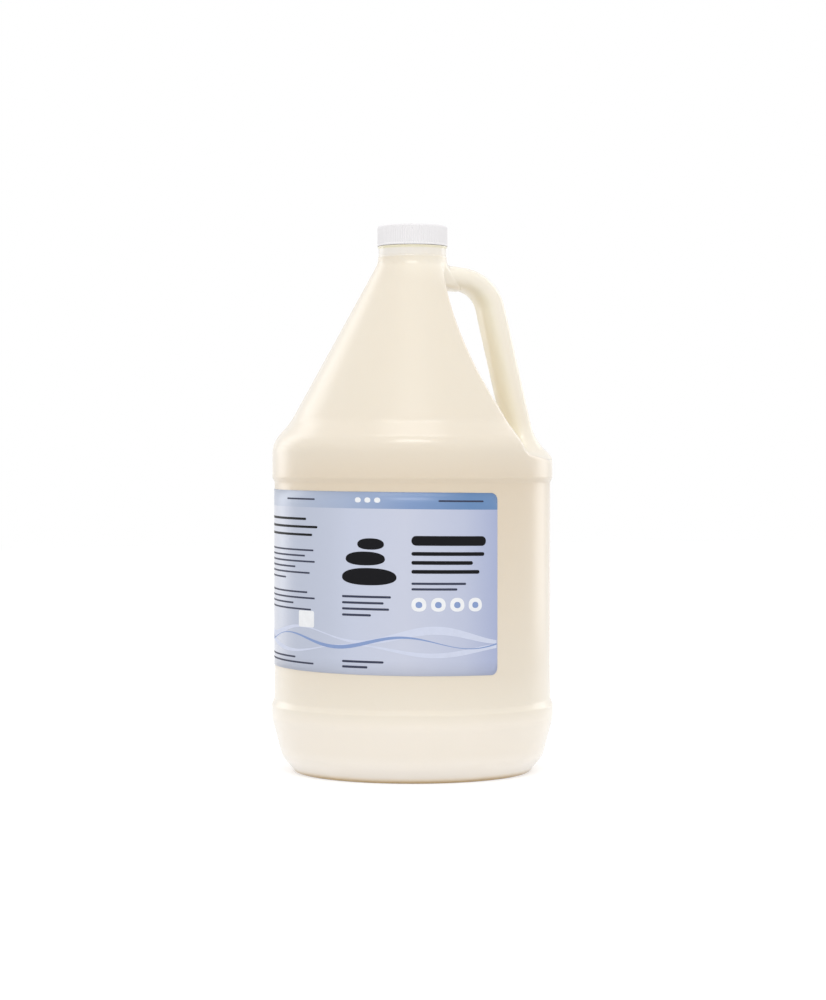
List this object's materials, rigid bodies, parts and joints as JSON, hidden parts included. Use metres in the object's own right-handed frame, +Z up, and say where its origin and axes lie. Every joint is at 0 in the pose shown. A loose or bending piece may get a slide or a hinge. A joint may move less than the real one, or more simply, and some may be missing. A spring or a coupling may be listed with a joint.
{
  "type": "handled jug with screw cap",
  "caption": "Round blow-moulded one-gallon jug with an integral hollow handle, a ribbed screw cap with foam liner, and a wrap-round label.",
  "frame": {"origin": "centre of the plane that the jug stands on", "axes": "+Z up along the neck, +X towards the handle, -Y towards the side that shows the label and the handle at its right"},
  "size_m": [0.1586, 0.1586, 0.3069],
  "materials": {
    "natural_hdpe": "cream natural HDPE, satin, slightly translucent",
    "white_cap": "white polypropylene, satin",
    "liner_foam": "white closed-cell foam",
    "label_film": "semi-gloss printed film, pale blue"
  },
  "bodies": {
    "jug": {"jug": "natural_hdpe", "label": "label_film"},
    "liner": {"liner": "liner_foam"},
    "cap": {"cap": "white_cap"}
  },
  "joints": [
    {"name": "cap_rise", "type": "slide", "parent": "jug", "child": "liner", "axis": [0, 0, 1], "range_m": [0, 0.00636]},
    {"name": "cap_turn", "type": "hinge", "parent": "liner", "child": "cap", "pos_m": [0, 0, 0.3], "axis": [0, 0, 1], "range_deg": [0, 540]}
  ],
  "couplings": [
    {"joint": "cap_rise", "follows": "cap_turn", "m_per_rad": 0.00067373}
  ]
}
